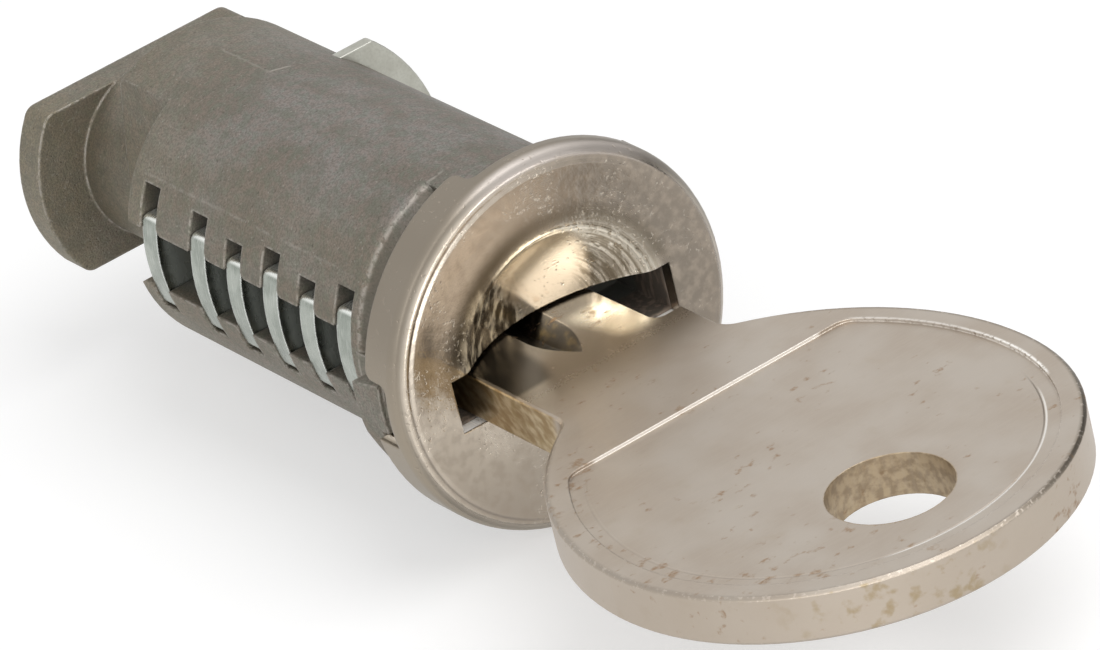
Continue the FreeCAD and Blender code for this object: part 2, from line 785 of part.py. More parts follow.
def make_wafer(number):
    label = "wafer_%d" % number
    body = new_body(label)
    reach = S["barrel_radius"] - S["wafer_edge_gap"]
    top = wafer_top(number)
    low = S["wafer_bottom"]
    tongue = S["wafer_tongue_half"]
    shoulder = S["wafer_tongue_start"]
    notch = spring_seat(number)
    notch_end = S["wafer_travel"] - S["pocket_end"] + S["spare"]
    lug_top = spring_lug_top(number)
    lug_left = spring_lug_left(number)
    lug_right = spring_lug_right(number)
    sketch = across(body, label + "_outline", wafer_place(number) - S["wafer_thickness"] / 2)
    draw(sketch, (-chord(reach, low), -low), [
        line(shoulder, -low),
        line(shoulder, -tongue),
        line(chord(reach, tongue), -tongue),
        arc(chord(reach, tongue), tongue, (0, 0), "left", "y"),
        line(shoulder, tongue),
        line(shoulder, top),
        line(notch_end, top),
        line(notch_end, notch),
        line(-lug_right, notch),
        line(-lug_right, lug_top),
        line(-lug_left, lug_top),
        line(-lug_left, top),
        line(-chord(reach, top), top, fixed="y"),
        arc(-chord(reach, low), -low, (0, 0), "left", ""),
    ])
    plate = pad(body, label + "_plate", sketch, S["wafer_thickness"], reversed_way=True)
    doc.recompute()
    corners = [
        edges_along_y(plate.Shape, -chord(reach, top), top),
        edges_along_y(plate.Shape, -chord(reach, low), -low),
    ]
    round_edges(body, label + "_corners", plate, corners, S["wafer_corner"])
    window = across(body, label + "_window_outline", wafer_place(number) - S["wafer_thickness"])
    side = S["blade_window_gap"]
    draw_rectangle(window, -S["wafer_window_left"], cut_place(number) + S["cut_gap"], KEY_BOTTOM - side, KEY_TOP + side)
    pocket(body, label + "_window", window, 2 * S["wafer_thickness"])
    set_back(body)
    return body


# Retaining plate: a plated steel fork that straddles the key and stands out of the barrel.
# Toes inside the ends of its legs catch behind the block that the plug keeps in its slot.

def make_retainer():
    body = new_body("retaining_plate")
    half = S["retainer_half"]
    end = -S["retainer_leg_end"]
    seat = S["retainer_spring_seat"]
    web = S["retainer_web"]
    inside = S["retainer_leg_inside"]
    toe = inside - S["retainer_toe_depth"]
    toe_end = end + S["retainer_toe_length"]
    near = S["retainer_spring_height"] - S["retainer_bore_radius"]
    far = S["retainer_spring_height"] + S["retainer_bore_radius"]
    outer = chord(S["retainer_reach"], half)
    sketch = across(body, "retainer_outline", S["retainer_front"])
    draw(sketch, (outer, half), [
        arc(outer, -half, (0, 0), "right", "y"),
        line(end, -half),
        line(end, -far),
        line(seat, -far),
        line(seat, -near),
        line(end, -near),
        line(end, -toe),
        line(toe_end, -toe),
        line(toe_end, -inside),
        line(web, -inside),
        line(web, inside),
        line(toe_end, inside),
        line(toe_end, toe),
        line(end, toe),
        line(end, near),
        line(seat, near),
        line(seat, far),
        line(end, far),
        line(end, half),
        line(outer, half),
    ])
    plate = pad(body, "retainer_plate", sketch, S["retainer_thickness"], reversed_way=True)
    doc.recompute()
    corners = [edges_along_y(plate.Shape, outer, half), edges_along_y(plate.Shape, outer, -half)]
    round_edges(body, "retainer_corners", plate, corners, S["retainer_corner"])
    set_back(body)
    return body


# Key: one stamped and nickel-plated blank with a round bow, a recessed panel on each side,
# a ring hole, a milled groove on each side and the cuts along one edge of the blade.

def make_key():
    body = new_body("key")
    left = -S["blade_left"]
    right = S["blade_right"]
    bow = S["bow_radius"]
    centre = -S["bow_centre"]
    shoulder = S["bow_shoulder_radius"]
    aside = shoulder - bow
    fillet = S["bow_fillet"]
    reach = shoulder + fillet

    def fillet_points(edge, way):
        # where the fillet between a straight edge of the blade and the bow starts and ends
        across_x = (edge * way + fillet) + aside
        rise = chord(reach, across_x)
        on_edge = (edge, centre + rise)
        on_bow = (way * (across_x * shoulder / reach - aside), centre + rise * shoulder / reach)
        middle = (edge + way * fillet, centre + rise)
        return on_edge, on_bow, middle

    left_edge, left_bow, left_middle = fillet_points(left, -1)
    right_edge, right_bow, right_middle = fillet_points(right, 1)
    corner = S["cut_corner"]
    neck_cut = S["cut_at_neck"]
    steps = [
        line(*left_edge),
        arc(*left_bow, left_middle, "right", "y"),
        arc(-bow, centre, (aside, centre), "left", "y"),
        arc(bow, centre, (0, centre), "left", "y"),
        arc(*right_bow, (-aside, centre), "left", "y"),
        arc(*right_edge, right_middle, "right", "y"),
        line(right, -S["cut_start"]),
        line(neck_cut + corner, -S["cut_start"]),
        arc(neck_cut, corner - S["cut_start"], (neck_cut + corner, corner - S["cut_start"]), "right", "y"),
    ]
    for number in range(1, WAFER_COUNT + 1):
        steps.append(line(cut_place(number), wafer_place(number) - S["cut_flat"]))
        steps.append(line(cut_place(number), wafer_place(number) + S["cut_flat"]))
    tip = S["blade_tip"]
    steps += [
        line(cut_place(WAFER_COUNT) - S["tip_right_back"], tip),
        line(-S["tip_left_flat"], tip),
        line(left, tip - S["tip_left_back"]),
    ]
    start = steps.pop(0)["to"]
    steps.append(line(*start))
    blank = new_sketch(body, "key_outline", "XY_Plane", KEY_MIDDLE)
    draw(blank, start, steps)
    plate = pad(body, "key_blank", blank, S["key_thickness"], midplane=True)
    doc.recompute()
    faces = [
        "Face%d" % number for number, face in enumerate(plate.Shape.Faces, start=1)
        if face.Surface.TypeId == "Part::GeomPlane" and abs(face.normalAt(0, 0).z) > 0.99
    ]
    bevel_edges(body, "key_edges", plate, faces, S["key_edge"])

    hole = new_sketch(body, "ring_hole_outline", "XY_Plane", KEY_TOP + S["clear_of_part"])
    draw_circle(hole, 0, -S["ring_hole_centre"], S["ring_hole_radius"])
    pocket(body, "ring_hole", hole, S["key_thickness"] + 2 * S["clear_of_part"])

    inset = S["panel_inset"]
    inner = shoulder - inset
    edge_y = -S["panel_edge"]
    edge_x = chord(inner, edge_y - centre) - aside
    for side, name in ((1, "top"), (-1, "bottom")):
        face = KEY_TOP if side > 0 else KEY_BOTTOM
        panel = new_sketch(body, "%s_panel_outline" % name, "XY_Plane", face)
        draw(panel, (-edge_x, edge_y), [
            arc(inset - bow, centre, (aside, centre), "left", "y"),
            arc(bow - inset, centre, (0, centre), "left", "y"),
            arc(edge_x, edge_y, (-aside, centre), "left", "y"),
            line(-edge_x, edge_y),
        ])
        cut_panel = pocket(body, "%s_panel" % name, panel, S["panel_depth"], reversed_way=side < 0)
        doc.recompute()
        corners = [edge_along_z(cut_panel.Shape, x, edge_y, face) for x in (-edge_x, edge_x)]
        round_edges(body, "%s_panel_corners" % name, cut_panel, corners, S["panel_corner"])

    half = S["groove_half"]
    depth = S["groove_depth"]
    for side, name, place in ((1, "top", -S["groove_top_place"]), (-1, "bottom", S["groove_bottom_place"])):
        face = KEY_TOP if side > 0 else KEY_BOTTOM
        over = 2 * S["spare"]
        wide = half * (depth + over) / depth
        mouth = face + side * over
        valley = face - side * depth
        run = across(body, "%s_groove_outline" % name, S["groove_full_to"])
        draw(run, (place - wide, mouth), [
            line(place + wide, mouth), line(place, valley), line(place - wide, mouth)])
        pocket(body, "%s_groove" % name, run, tip)
        sweep = across(body, "%s_groove_end_outline" % name, S["groove_full_to"])
        hub = valley + side * S["groove_cutter"]
        draw(sweep, (place - wide, mouth), [
            line(place + wide, mouth), line(place, valley), line(place - wide, mouth)])
        shaft = sweep.addGeometry(Part.LineSegment(
            vector((place - 1, hub)), vector((place + 1, hub))), True)
        hold_point(sweep, shaft, 1, (place - 1, hub), "xy")
        hold_point(sweep, shaft, 2, (place + 1, hub), "xy")
        turned(body, "Groove", "%s_groove_end" % name, sweep, axis="Axis0")
    set_back(body)
    return body


# Springs: wound from wire and hidden in the plug, so each is kept as the sleeve of its coil.

def make_spring(label, left, right, y, z, radius, wire):
    body = new_body(label)
    sketch = new_sketch(body, label + "_outline", "YZ_Plane", left)
    draw_circle(sketch, y, z, radius)
    draw_circle(sketch, y, z, radius - wire)
    pad(body, label + "_coil", sketch, right - left)
    set_back(body)
    return body


def make_wafer_spring(number):
    return make_spring(
        "wafer_spring_%d" % number, -spring_lug_right(number), -S["pocket_end"],
        wafer_place(number), spring_height(number), S["wafer_spring_radius"], S["wafer_spring_wire"])


def make_retainer_spring(label, side):
    return make_spring(
        label, -S["retainer_spring_end"], S["retainer_spring_seat"],
        S["retainer_front"] + S["retainer_thickness"] / 2, side * S["retainer_spring_height"],
        S["retainer_spring_radius"], S["retainer_spring_wire"])


pieces = [make_plug(), make_cap()]
for number in range(1, WAFER_COUNT + 1):
    pieces.append(make_wafer(number))
    pieces.append(make_wafer_spring(number))
pieces.append(make_retainer())
pieces.append(make_retainer_spring("retainer_spring_upper", 1))
pieces.append(make_retainer_spring("retainer_spring_lower", -1))
pieces.append(make_key())
doc.recompute()

# Nothing is written unless every feature and every solid is sound

for item in doc.Objects:
    if "Invalid" in item.State or "Error" in item.State:
        raise RuntimeError("failed: %s %s" % (item.Name, item.State))
for piece in pieces:
    if piece.Shape.isNull() or not piece.Shape.isValid():
        raise RuntimeError("bad shape: " + piece.Label)
    if len(piece.Shape.Solids) != 1:
        raise RuntimeError("%s has %d solids" % (piece.Label, len(piece.Shape.Solids)))

os.makedirs("parts", exist_ok=True)
for piece in pieces:
    piece.Shape.exportStep("parts/%s.step" % piece.Label)
    print("%-22s volume %8.3f mm3, faces %d" % (piece.Label, piece.Shape.Volume, len(piece.Shape.Faces)))
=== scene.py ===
import math

import bmesh
import bpy
from mathutils import Matrix, Vector


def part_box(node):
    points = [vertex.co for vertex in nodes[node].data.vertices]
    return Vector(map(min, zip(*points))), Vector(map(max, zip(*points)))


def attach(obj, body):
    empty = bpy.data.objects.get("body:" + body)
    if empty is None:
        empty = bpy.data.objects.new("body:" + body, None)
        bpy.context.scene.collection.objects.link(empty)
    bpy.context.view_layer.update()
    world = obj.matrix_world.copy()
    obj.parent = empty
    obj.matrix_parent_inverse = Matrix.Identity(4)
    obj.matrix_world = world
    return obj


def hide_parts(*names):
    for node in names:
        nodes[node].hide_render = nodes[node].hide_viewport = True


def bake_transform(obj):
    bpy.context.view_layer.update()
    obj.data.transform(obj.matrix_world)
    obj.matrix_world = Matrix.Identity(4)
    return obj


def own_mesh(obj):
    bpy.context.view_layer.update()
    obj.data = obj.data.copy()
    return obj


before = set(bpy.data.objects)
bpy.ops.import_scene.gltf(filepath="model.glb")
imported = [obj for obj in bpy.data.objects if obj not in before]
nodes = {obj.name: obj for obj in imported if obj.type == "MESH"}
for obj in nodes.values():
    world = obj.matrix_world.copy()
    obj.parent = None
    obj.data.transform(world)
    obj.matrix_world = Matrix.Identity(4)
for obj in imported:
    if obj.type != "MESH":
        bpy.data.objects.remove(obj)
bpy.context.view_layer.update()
mm = 0.001


# Plug body: one zinc die casting with a matt grey-brown skin, a fine cast grain, and edges
# rubbed brighter by use. The wafer slots and the side window are cast in, and their insides
# are darkened as painted shade.

class Line:
    """One output in a material. Sums written on it add Math nodes."""

    def __init__(self, tree, socket):
        self.tree = tree
        self.socket = socket

    def node(self, kind, settings=None, feeds=None, out=0):
        made = self.tree.nodes.new("ShaderNode" + kind)
        for name, value in (settings or {}).items():
            setattr(made, name, value)
        for name, value in (feeds or {}).items():
            if isinstance(value, Line):
                self.tree.links.new(value.socket, made.inputs[name])
            else:
                made.inputs[name].default_value = value
        return Line(self.tree, made.outputs[out])

    def maths(self, operation, first, second=0.0):
        return self.node("Math", {"operation": operation}, {0: first, 1: second})

    def root(self):
        return self.maths("SQRT", self)

    def larger(self, other):
        return self.maths("MAXIMUM", self, other)

    def smaller(self, other):
        return self.maths("MINIMUM", self, other)

    def above(self, value):
        """1 where this line is greater than value, 0 elsewhere."""
        return self.maths("GREATER_THAN", self, value)

    def __add__(self, other):
        return self.maths("ADD", self, other)

    def __radd__(self, other):
        return self.maths("ADD", other, self)

    def __sub__(self, other):
        return self.maths("SUBTRACT", self, other)

    def __rsub__(self, other):
        return self.maths("SUBTRACT", other, self)

    def __mul__(self, other):
        return self.maths("MULTIPLY", self, other)

    def __rmul__(self, other):
        return self.maths("MULTIPLY", other, self)

    def __truediv__(self, other):
        return self.maths("DIVIDE", self, other)

    def __abs__(self):
        return self.maths("ABSOLUTE", self)

    def rise(self, low, high):
        """0 below low, 1 above high, and smooth between them."""
        return self.node("MapRange", {"interpolation_type": "SMOOTHSTEP"},
                         {"Value": self, "From Min": low, "From Max": high})

    def mix(self, without, with_it):
        """Goes from the first colour to the second as this line goes from 0 to 1."""
        return self.node("Mix", {"data_type": "RGBA"}, {0: self, 6: without, 7: with_it}, 2)

    def grain(self, size, detail=2.0, stretch=(1, 1, 1)):
        """Noise with lumps of about that size, drawn out along the axes by stretch."""
        place = self.node("Mapping", None, {"Vector": self, "Scale": stretch})
        return self.node("TexNoise", None, {"Vector": place, "Scale": 1 / size, "Detail": detail})

    def along(self, axis):
        return self.node("SeparateXYZ", None, {"Vector": self}, "XYZ".index(axis))

    def near(self, value, reach):
        """1 where this line equals value, fading smoothly to 0 at reach on both sides."""
        return 1 - abs(self - value).rise(0, reach)

    def within(self, low, high, soft):
        """1 from low to high, with a soft step at both ends."""
        return self.rise(low - soft, low + soft) * (1 - self.rise(high - soft, high + soft))


def colour(red, green, blue):
    return (red, green, blue, 1.0)


def new_finish(name, metallic, roughness):
    """A bare material, the line that gives a point's place on the object, and its shader."""
    finish = bpy.data.materials.new(name)
    finish.use_nodes = True
    tree = finish.node_tree
    shader = tree.nodes["Principled BSDF"]
    shader.inputs["Metallic"].default_value = metallic
    shader.inputs["Roughness"].default_value = roughness
    place = Line(tree, None).node("TexCoord", None, None, "Object")
    return finish, place, shader


def feed(shader, name, line):
    line.tree.links.new(line.socket, shader.inputs[name])


def rounded(place, radius):
    """The surface's normal, with its edges rounded to that radius."""
    return place.node("Bevel", {"samples": 6}, {"Radius": radius})


def softened(place, radius, height, depth):
    """The rounded normal with a height laid over it."""
    soft = rounded(place, radius)
    return place.node("Bump", None, {"Height": height, "Distance": depth, "Normal": soft})


def edge_wear(place, radius):
    """1 along the outer and inner edges, 0 on the open faces."""
    soft = rounded(place, radius)
    plain = place.node("NewGeometry", None, None, "Normal")
    together = place.node("VectorMath", {"operation": "DOT_PRODUCT"}, {0: soft, 1: plain}, "Value")
    return (1 - together).rise(0.02, 0.16)


def dress(names, finish):
    for name in names:
        for material_slot in nodes[name].material_slots:
            material_slot.material = finish


def from_axis(place):
    """How far a point lies from the lock's axis."""
    x, z = place.along("X"), place.along("Z")
    return (x * x + z * z).root()


casting, place, shader = new_finish("zinc_casting", 0.85, 0.55)
x, y, z = (place.along(axis) for axis in "XYZ")
radius = from_axis(place)
patches = place.grain(1.7 * mm, 4.0, (1, 0.5, 1))
tint = place.grain(0.38 * mm, 4.0)
grit = place.grain(0.085 * mm, 4.0)
pits = place.grain(0.15 * mm, 2.0).rise(0.60, 0.78)
glints = place.grain(0.12 * mm, 2.0).rise(0.60, 0.80)
ragged = place.grain(0.3 * mm, 3.0)
worn = edge_wear(place, 0.18 * mm)

# Marks of the die: a crease on top that ends in a bright tick, a parting line over the slots,
# and a ragged lip where the head's relief starts
top = z.rise(0, 1 * mm)
wander = (ragged - 0.5) * (0.25 * mm)
crease = (x + wander).near(0.16 * mm, 0.1 * mm) * y.within(6.3 * mm, 9.6 * mm, 0.3 * mm)
crease = crease * top
tick = (y + 0.3 * x + 0.3 * wander).near(6.42 * mm, 0.09 * mm)
tick = tick * x.within(0.2 * mm, 1.0 * mm, 0.1 * mm) * top
slot_side = 1 - x.rise(-1 * mm, 0)
seam_height, relief_start = 3.44 * mm, -6.24 * mm
parting = z.rise(seam_height - 0.06 * mm, seam_height + 0.06 * mm) * slot_side
line = (z + 0.4 * wander).near(seam_height, 0.09 * mm) * slot_side
line = line * y.within(-5.5 * mm, 8.6 * mm, 0.3 * mm)
lip = (y + 0.6 * wander).near(relief_start, 0.13 * mm) * ragged.rise(0.38, 0.5)
lip = lip * slot_side * radius.rise(5.7 * mm, 5.85 * mm)
bright = crease * 0.5 + tick + line * ragged.rise(0.42, 0.58) * 0.6 + lip

skin = patches.rise(0.36, 0.64).mix(colour(0.19, 0.168, 0.14), colour(0.25, 0.236, 0.22))
skin = (tint.rise(0.42, 0.62) * 0.4).mix(skin, colour(0.27, 0.205, 0.18))
skin = ((1 - tint.rise(0.36, 0.52)) * 0.4).mix(skin, colour(0.175, 0.20, 0.155))
# Painted reflection: the skin turns browner towards the rear and the left
brown_reflection = y.rise(4 * mm, 13 * mm) * 0.4 + (1 - x.rise(-5 * mm, -2 * mm)) * 0.3
skin = brown_reflection.mix(skin, colour(0.25, 0.215, 0.145))
skin = (place.grain(0.8 * mm, 5.0).rise(0.48, 0.62) * 0.35).mix(skin, colour(0.16, 0.155, 0.125))
skin = (grit.rise(0.44, 0.58) * 0.5).mix(skin, colour(0.13, 0.125, 0.10))
skin = (glints * 0.6).mix(skin, colour(0.38, 0.36, 0.32))
skin = (pits * 0.6).mix(skin, colour(0.085, 0.075, 0.06))
# Painted shade on the sloped relief behind the cap's skirt
relief_shade = radius.within(5.25 * mm, 5.85 * mm, 0.08 * mm) * y.within(-9.3 * mm, -6.2 * mm, 0.1 * mm)
skin = (relief_shade * 0.7).mix(skin, colour(0.095, 0.085, 0.068))
skin = (worn * ragged.rise(0.38, 0.6) * 0.75).mix(skin, colour(0.44, 0.41, 0.37))
skin = (bright * 0.6).smaller(1.0).mix(skin, colour(0.40, 0.37, 0.33))

# Painted shade inside the wafer slots and in the keyway's mouth behind the cap's slot, darkest
# towards the mouth's ends, with lighter streaks in the mouth painted as reflections
slot_shade = (1 - radius.rise(4.9 * mm, 5.75 * mm)) * y.within(-8.2 * mm, 9.4 * mm, 0.1 * mm)
skin = (slot_shade * 0.9).mix(skin, colour(0.14, 0.143, 0.13))
mouth = (1 - radius.rise(5.2 * mm, 5.5 * mm)) * (1 - y.rise(-8.6 * mm, -8.0 * mm))
reflection_streaks = place.grain(0.3 * mm, 3.0, (1, 1, 0.25)).rise(0.45, 0.62)
mouth_shade = abs(x).rise(2.4 * mm, 3.4 * mm).mix(colour(0.26, 0.205, 0.165), colour(0.14, 0.115, 0.095))
mouth_shade = (reflection_streaks * 0.6).mix(mouth_shade, colour(0.40, 0.31, 0.24))
skin = (mouth * 0.9).mix(skin, mouth_shade)
feed(shader, "Metallic", 0.85 - 0.6 * mouth - 0.6 * slot_shade)
feed(shader, "Base Color", skin)
feed(shader, "Roughness", 0.5 + 0.16 * grit)
relief = 0.6 * grit + 0.8 * tint - 0.4 * pits + 0.5 * parting + 0.8 * crease + tick + 0.5 * lip
feed(shader, "Normal", softened(place, 0.2 * mm, relief, 0.03 * mm))
dress(["plug_body"], casting)


# Face cap: a disc of thin stainless steel, pressed with a half bowl above the key slot and
# crimped over the plug's head. Its rim is rolled, with a painted highlight on its crown, and
# its face is finely turned.

pressed, place, shader = new_finish("pressed_steel", 1.0, 0.25)
x, y, z = (place.along(axis) for axis in "XYZ")
radius = from_axis(place)
turned = place.node("CombineXYZ", None, {0: radius, 1: 0.0, 2: 0.0}).grain(0.05 * mm, 2.0)
cap_front = -11 * mm
clouds = place.grain(2.0 * mm, 3.0)
dents = place.grain(0.42 * mm, 2.0)
nicks = place.grain(0.2 * mm, 2.0).rise(0.62, 0.7) * clouds.rise(0.42, 0.6)
face = 1 - y.rise(cap_front + 0.03 * mm, cap_front + 0.1 * mm)
bowl = (1 - radius.rise(4.2 * mm, 5.0 * mm)) * z.rise(0.2 * mm, 0.6 * mm)
smear = place.grain(0.35 * mm, 3.0, (1, 1, 0.35))
slant = x + 0.6 * z + 1.4 * mm * (smear - 0.5)
# Painted dark reflection on the bowl's left part
bowl_dark_reflection = bowl * (1 - slant.rise(-0.5 * mm, 0.3 * mm))
# Painted shade on the bowl's rounded rim, hiding its bright reflection; weaker to the right
bowl_rim_shade = radius.near(4.75 * mm, 0.8 * mm) * (1 - 0.35 * x.rise(-2.5 * mm, 1.5 * mm))
bowl_rim_shade = bowl_rim_shade * z.rise(0.4 * mm, 1.6 * mm)
rings = place.node("CombineXYZ", None, {0: radius, 1: 0.3 * smear * mm, 2: 0.0}).grain(0.13 * mm, 3.0)
brushing = rings.rise(0.36, 0.6) * bowl * (x + 0.5 * mm * smear).rise(1.7 * mm, 2.7 * mm)
front = 1 - y.rise(cap_front + 0.2 * mm, cap_front + 0.4 * mm)
upper_left = (z - x).rise(-5 * mm, 6 * mm)
groove = radius.near(6.93 * mm, 0.09 * mm) * front * (1 - 0.85 * x.rise(-4.0 * mm, -1.5 * mm))
bead = radius.rise(5.8 * mm, 6.7 * mm) - radius.rise(6.7 * mm, 6.9 * mm)
bead = bead * front * upper_left
fall = radius.rise(7.07 * mm, 7.38 * mm)
band = radius.rise(7.1 * mm, 7.35 * mm)
grime = radius.rise(5.6 * mm, 7.0 * mm) * face * (0.3 + clouds)
steel = clouds.rise(0.35, 0.7).mix(colour(0.62, 0.545, 0.45), colour(0.72, 0.64, 0.535))
# Painted shade: the face darkens towards the right
steel = (x.rise(-4.5 * mm, 4 * mm) * face * 0.93).mix(steel, colour(0.205, 0.176, 0.144))
# Painted shade: the skirt is darker towards its top
shaded_skirt = z.rise(-2 * mm, 5 * mm).mix(colour(0.30, 0.257, 0.20), colour(0.215, 0.186, 0.148))
# Painted shade: the face darkens towards the bottom
steel = ((1 - z.rise(-6 * mm, -1 * mm)) * face * 0.6).mix(steel, colour(0.35, 0.30, 0.25))
steel = (band * 0.9).mix(steel, shaded_skirt)
# Painted highlight along the rim's crown at the upper left
crown_highlight = radius.rise(6.98 * mm, 7.1 * mm) * z.rise(4 * mm, 6 * mm) * x.rise(-3.6 * mm, -0.6 * mm)
crown_highlight = crown_highlight * (1 - y.rise(cap_front + 0.3 * mm, cap_front + 0.6 * mm))
steel = (crown_highlight * 0.9).mix(steel, colour(0.46, 0.415, 0.38))
steel = (dents.rise(0.4, 0.7) * 0.45 * face).mix(steel, colour(0.42, 0.355, 0.285))
steel = (grime * 0.2).mix(steel, colour(0.40, 0.335, 0.27))
steel = (bowl * 0.95).mix(steel, colour(1.0, 0.93, 0.80))
steel = (brushing * 0.85).mix(steel, colour(0.26, 0.205, 0.13))
# Painted shade on the bowl's rounded rim
steel = (bowl_rim_shade * 0.95).mix(steel, colour(0.135, 0.11, 0.075))
# The painted dark reflection carries golden streaks
golden = smear.rise(0.38, 0.68)
dark_reflection_colour = golden.mix(colour(0.18, 0.15, 0.11), colour(0.80, 0.67, 0.46))
steel = (bowl_dark_reflection * 0.95).mix(steel, dark_reflection_colour)
steel = (nicks * 0.5).mix(steel, colour(0.33, 0.28, 0.22))
scuffs = place.grain(0.13 * mm, 3.0).rise(0.6, 0.7) * clouds.rise(0.42, 0.58) * face
steel = (scuffs * 0.45).mix(steel, colour(0.66, 0.60, 0.51))
# Painted shade in the groove line, mostly at the left
steel = (groove * 0.6).mix(steel, colour(0.24, 0.21, 0.18))
# The slot's sheared lower edge, painted as a bright highlight
sheared_edge_highlight = z.near(-1.46 * mm, 0.07 * mm) * (1 - abs(x).rise(4.95 * mm, 5.1 * mm))
sheared_edge_highlight = sheared_edge_highlight * (1 - face)
steel = sheared_edge_highlight.mix(steel, colour(1.0, 0.98, 0.95))
feed(shader, "Metallic", 1 - 0.9 * sheared_edge_highlight - 0.6 * bowl_dark_reflection * golden - 0.65 * crown_highlight)
feed(shader, "Base Color", steel)
feed(shader, "Roughness", 0.19 + 0.09 * clouds + 0.05 * turned - 0.09 * bowl + 0.12 * band)
marks = 0.08 * turned + 2.0 * dents * face - 1.2 * nicks - 0.8 * scuffs
marks = marks - 2.4 * groove + 5.5 * bead - 16 * fall
feed(shader, "Normal", softened(place, 0.1 * mm, marks, 0.012 * mm))
dress(["face_cap"], pressed)


# Wafers: six brass stampings with a bright nickel plate. Their edges show the drag lines of
# the punch, and their flanks are duller. Their edges and upward faces carry painted
# highlights, and their parts inside the plug are darkened as painted shade.

plated, place, shader = new_finish("wafer_plate", 1.0, 0.25)
drag = place.grain(0.07 * mm, 2.0, (0.25, 1, 0.12))
film = place.grain(0.8 * mm, 2.0)
rubbed_edge_highlight = edge_wear(place, 0.1 * mm)
top_highlight = place.node("NewGeometry", None, None, "Normal").along("Z").rise(0.6, 0.9)
out_of_shade = from_axis(place).rise(5.2 * mm, 5.8 * mm)
nickel = film.rise(0.35, 0.7).mix(colour(0.29, 0.315, 0.28), colour(0.39, 0.415, 0.375))
nickel = (drag.rise(0.5, 0.75) * 0.5).mix(nickel, colour(0.53, 0.55, 0.505))
# Edges rubbed bright by wear, and painted brighter still as highlights
nickel = (rubbed_edge_highlight * 0.8).mix(nickel, colour(0.86, 0.88, 0.84))
# Painted highlight on faces turned upwards, as if lit from above
nickel = (top_highlight * 0.9).mix(nickel, colour(0.90, 0.92, 0.88))
# Painted shade: the wafers' parts inside the plug are dark
nickel = out_of_shade.mix(colour(0.15, 0.16, 0.145), nickel)
feed(shader, "Metallic", 0.25 + 0.75 * out_of_shade - 0.4 * rubbed_edge_highlight * out_of_shade)
feed(shader, "Base Color", nickel)
feed(shader, "Roughness", 0.20 + 0.16 * drag)
feed(shader, "Normal", softened(place, 0.08 * mm, drag, 0.006 * mm))
dress(["wafer_%d" % number for number in range(1, 7)], plated)


# Springs: drawn steel wire, wound into coils that lie in pockets of the plug. The turns close
# up at both ends, so a spring stands square on its seat.

wire, place, shader = new_finish("spring_wire", 1.0, 0.32)
drawing = place.grain(0.05 * mm, 2.0)
feed(shader, "Base Color", drawing.mix(colour(0.50, 0.48, 0.44), colour(0.64, 0.62, 0.58)))
feed(shader, "Roughness", 0.28 + 0.12 * drawing)


def wind(node, turns, thickness):
    """A coil along X that fills the node's space, as one tube of wire."""
    low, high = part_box(node)
    middle = (low + high) / 2
    winding = (high.z - low.z - thickness) / 2
    travel = high.x - low.x - thickness
    steps_per_turn, sides, closing = 20, 8, 0.6
    steps = turns * steps_per_turn
    mesh = bmesh.new()
    previous = None
    for step in range(steps + 1):
        part = step / steps
        lead = part - closing * math.sin(2 * math.pi * part) / (2 * math.pi)
        turn = 2 * math.pi * turns * part
        outward = Vector((0, math.cos(turn), math.sin(turn)))
        heart = Vector((low.x + thickness / 2 + travel * lead, middle.y, middle.z))
        heart = heart + winding * outward
        ring = []
        for side in range(sides):
            way = 2 * math.pi * side / sides
            spoke = math.cos(way) * outward + math.sin(way) * Vector((1, 0, 0))
            ring.append(mesh.verts.new(heart + thickness / 2 * spoke))
        if previous is None:
            mesh.faces.new(ring)
        else:
            for side in range(sides):
                after = (side + 1) % sides
                mesh.faces.new((previous[side], previous[after], ring[after], ring[side]))
        previous = ring
    mesh.faces.new(list(reversed(previous)))
    bmesh.ops.recalc_face_normals(mesh, faces=mesh.faces)
    for face in mesh.faces:
        face.smooth = True
    data = bpy.data.meshes.new(node + "_coil")
    mesh.to_mesh(data)
    mesh.free()
    data.materials.append(wire)
    coil = bpy.data.objects.new(node + "_coil", data)
    bpy.context.scene.collection.objects.link(coil)
    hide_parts(node)
    return coil, low, high


# A wafer spring's coil is baked where it lies, and a retainer spring, pressed into its bore,
# rides with the plug
for number in range(1, 7):
    coil, low, high = wind("wafer_spring_%d" % number, turns=6, thickness=0.16 * mm)
    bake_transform(coil)
for name in ("retainer_spring_upper", "retainer_spring_lower"):
    coil, low, high = wind(name, turns=8, thickness=0.18 * mm)
    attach(coil, "plug")
    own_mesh(coil)


# Retaining plate: a steel fork, zinc plated, that springs out of the barrel and holds the
# core in its housing. The punch leaves its rim half bright and half torn.

zinc_plated, place, shader = new_finish("retainer_plate", 1.0, 0.28)
blotches = place.grain(1.1 * mm, 3.0)
torn = place.grain(0.12 * mm, 3.0)
rim = edge_wear(place, 0.07 * mm)
zinc = blotches.rise(0.3, 0.7).mix(colour(0.40, 0.395, 0.345), colour(0.48, 0.48, 0.425))
zinc = (torn.rise(0.4, 0.7) * 0.3).mix(zinc, colour(0.30, 0.29, 0.25))
zinc = (rim * 0.5).mix(zinc, colour(0.72, 0.72, 0.68))
feed(shader, "Base Color", zinc)
feed(shader, "Roughness", 0.24 + 0.14 * blotches)
feed(shader, "Normal", softened(place, 0.08 * mm, 0.6 * blotches + 0.4 * torn, 0.012 * mm))
dress(["retaining_plate"], zinc_plated)


# Key: a brass blank with a satin nickel plate, stamped with a recessed panel on its round
# bow. The plate has worn thin along the blade, and rust-brown specks sit on rim and panel.

